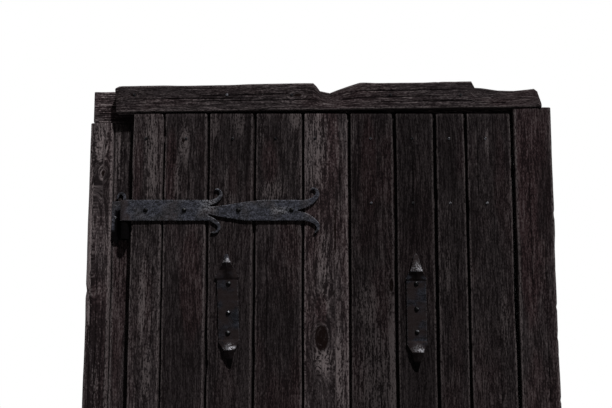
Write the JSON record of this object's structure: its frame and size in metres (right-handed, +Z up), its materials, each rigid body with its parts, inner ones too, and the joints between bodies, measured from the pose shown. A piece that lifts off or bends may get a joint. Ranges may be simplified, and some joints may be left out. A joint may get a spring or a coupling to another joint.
{
  "type": "plank door",
  "caption": "Weathered plank door in a timber frame, hung on forged strap hinges with curled tails, with forged cleats, a ring pull and a sliding bolt.",
  "frame": {"origin": "middle of the foot of the door and its frame, on the surface that the jambs stand on", "axes": "+X to the right seen from the front, +Y back into the wall, +Z up"},
  "size_m": [0.987, 0.145, 1.983],
  "materials": {
    "plank_wood": "weathered, open grain",
    "ledge_wood": "rough sawn, weathered",
    "frame_wood": "weathered, deep grain",
    "lintel_wood": "weathered, cracked",
    "forged_iron": "hammered, worn",
    "nail_iron": "dull, rusted"
  },
  "bodies": {
    "frame": {"jamb_left": "frame_wood", "jamb_right": "frame_wood", "stop_left": "frame_wood", "stop_right": "frame_wood", "header": "lintel_wood", "lintel": "lintel_wood", "lintel_nails": "nail_iron", "bolt_keep": "forged_iron", "stop_nails_left": "nail_iron", "stop_nails_right": "nail_iron", "pintle_plate_upper": "forged_iron", "pintle_pin_upper": "forged_iron", "pintle_nails_upper": "nail_iron", "pintle_plate_lower": "forged_iron", "pintle_pin_lower": "forged_iron", "pintle_nails_lower": "nail_iron"},
    "leaf": {"plank_1": "plank_wood", "plank_2": "plank_wood", "plank_3": "plank_wood", "plank_4": "plank_wood", "plank_5": "plank_wood", "plank_6": "plank_wood", "plank_7": "plank_wood", "plank_8": "plank_wood", "plank_9": "plank_wood", "ledge_top": "ledge_wood", "ledge_middle": "ledge_wood", "ledge_bottom": "ledge_wood", "strap_upper": "forged_iron", "strap_lower": "forged_iron", "strap_rivets_upper": "forged_iron", "strap_rivets_lower": "forged_iron", "cleat_left": "forged_iron", "cleat_right": "forged_iron", "cleat_rivets": "forged_iron", "plank_nails": "nail_iron", "pull_rose": "forged_iron", "pull_eye": "forged_iron", "pull_nut": "forged_iron", "bolt_plate": "forged_iron", "bolt_guide_inner": "forged_iron", "bolt_guide_outer": "forged_iron", "bolt_nails": "nail_iron"},
    "ring": {"pull_ring": "forged_iron"},
    "bolt": {"bolt_bar": "forged_iron"}
  },
  "joints": [
    {"name": "leaf_swing", "type": "hinge", "parent": "frame", "child": "leaf", "pos_m": [-0.40968, -0.03242, 1.7042], "axis": [0, 0, -1], "range_deg": [0, 100]},
    {"name": "ring_swing", "type": "hinge", "parent": "leaf", "child": "ring", "pos_m": [0.358, -0.0575, 1.0085], "axis": [-1, 0, 0], "range_deg": [-9, 150]},
    {"name": "bolt_slide", "type": "slide", "parent": "leaf", "child": "bolt", "axis": [1, 0, 0], "range_m": [0, 0.06]}
  ]
}
